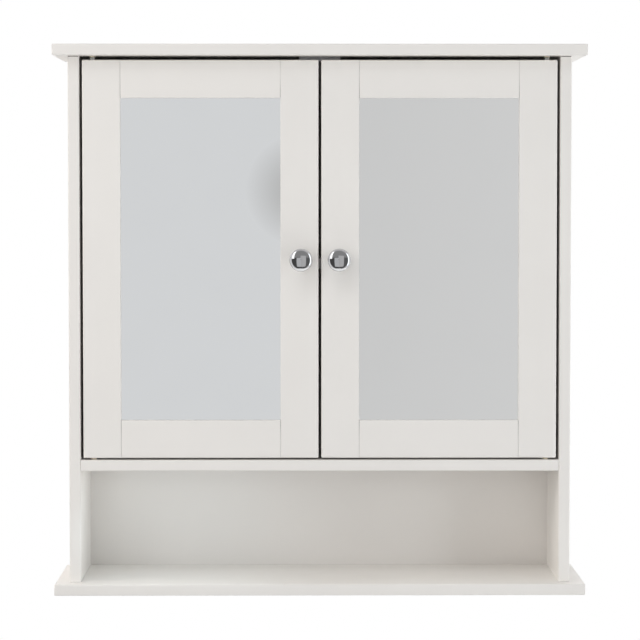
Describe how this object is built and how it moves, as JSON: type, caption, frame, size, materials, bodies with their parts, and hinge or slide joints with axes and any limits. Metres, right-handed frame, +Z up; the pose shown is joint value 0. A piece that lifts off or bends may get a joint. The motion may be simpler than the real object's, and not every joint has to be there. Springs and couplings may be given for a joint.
{
  "type": "hanging wall cabinet",
  "caption": "White wall cabinet with mirrored frame doors on pivot pins, chrome knobs, an adjustable shelf inside and an open niche below.",
  "frame": {"origin": "on the wall plane, midway between the two screw holes of the hanging rail", "axes": "+X to the right seen from the front, +Y into the wall, +Z up"},
  "size_m": [0.56, 0.14, 0.58],
  "materials": {
    "white_paint": "satin white paint on board",
    "white_hardboard": "white lacquered hardboard",
    "mirror_glass": "silvered glass",
    "knob_chrome": "polished chrome",
    "plated_steel": "bright nickel-plated steel",
    "zinc_steel": "zinc-plated steel",
    "nylon": "natural nylon",
    "catch_plastic": "white moulded plastic",
    "ferrite": "sintered ferrite",
    "beech": "bare beech"
  },
  "bodies": {
    "carcass": {"top_board": "white_paint", "bottom_board": "white_paint", "left_side": "white_paint", "right_side": "white_paint", "divider_shelf": "white_paint", "back_panel": "white_hardboard", "hanging_rail": "white_paint", "inner_shelf": "white_paint", "shelf_pins": "zinc_steel", "cam_bolts": "zinc_steel", "cam_locks": "zinc_steel", "dowels": "beech", "bottom_screws": "zinc_steel", "back_nails": "zinc_steel", "top_bushes": "nylon", "bottom_bushes": "nylon", "catch_housing": "catch_plastic", "catch_magnets": "ferrite", "catch_pole_plates": "plated_steel", "catch_screws": "zinc_steel"},
    "left_door": {"left_hinge_stile": "white_paint", "left_knob_stile": "white_paint", "left_top_rail": "white_paint", "left_bottom_rail": "white_paint", "left_mirror": "mirror_glass", "left_door_panel": "white_hardboard", "left_knob": "knob_chrome", "left_knob_screw": "zinc_steel", "left_top_pin": "plated_steel", "left_bottom_pin": "plated_steel", "left_strike_plate": "plated_steel", "left_strike_screw": "zinc_steel"},
    "right_door": {"right_hinge_stile": "white_paint", "right_knob_stile": "white_paint", "right_top_rail": "white_paint", "right_bottom_rail": "white_paint", "right_mirror": "mirror_glass", "right_door_panel": "white_hardboard", "right_knob": "knob_chrome", "right_knob_screw": "zinc_steel", "right_top_pin": "plated_steel", "right_bottom_pin": "plated_steel", "right_strike_plate": "plated_steel", "right_strike_screw": "zinc_steel"}
  },
  "joints": [
    {"name": "left_door_hinge", "type": "hinge", "parent": "carcass", "child": "left_door", "pos_m": [-0.2395, -0.1075, -0.189], "axis": [0, 0, -1], "range_deg": [0, 115]},
    {"name": "right_door_hinge", "type": "hinge", "parent": "carcass", "child": "right_door", "pos_m": [0.2395, -0.1075, -0.189], "axis": [0, 0, 1], "range_deg": [0, 115]}
  ]
}
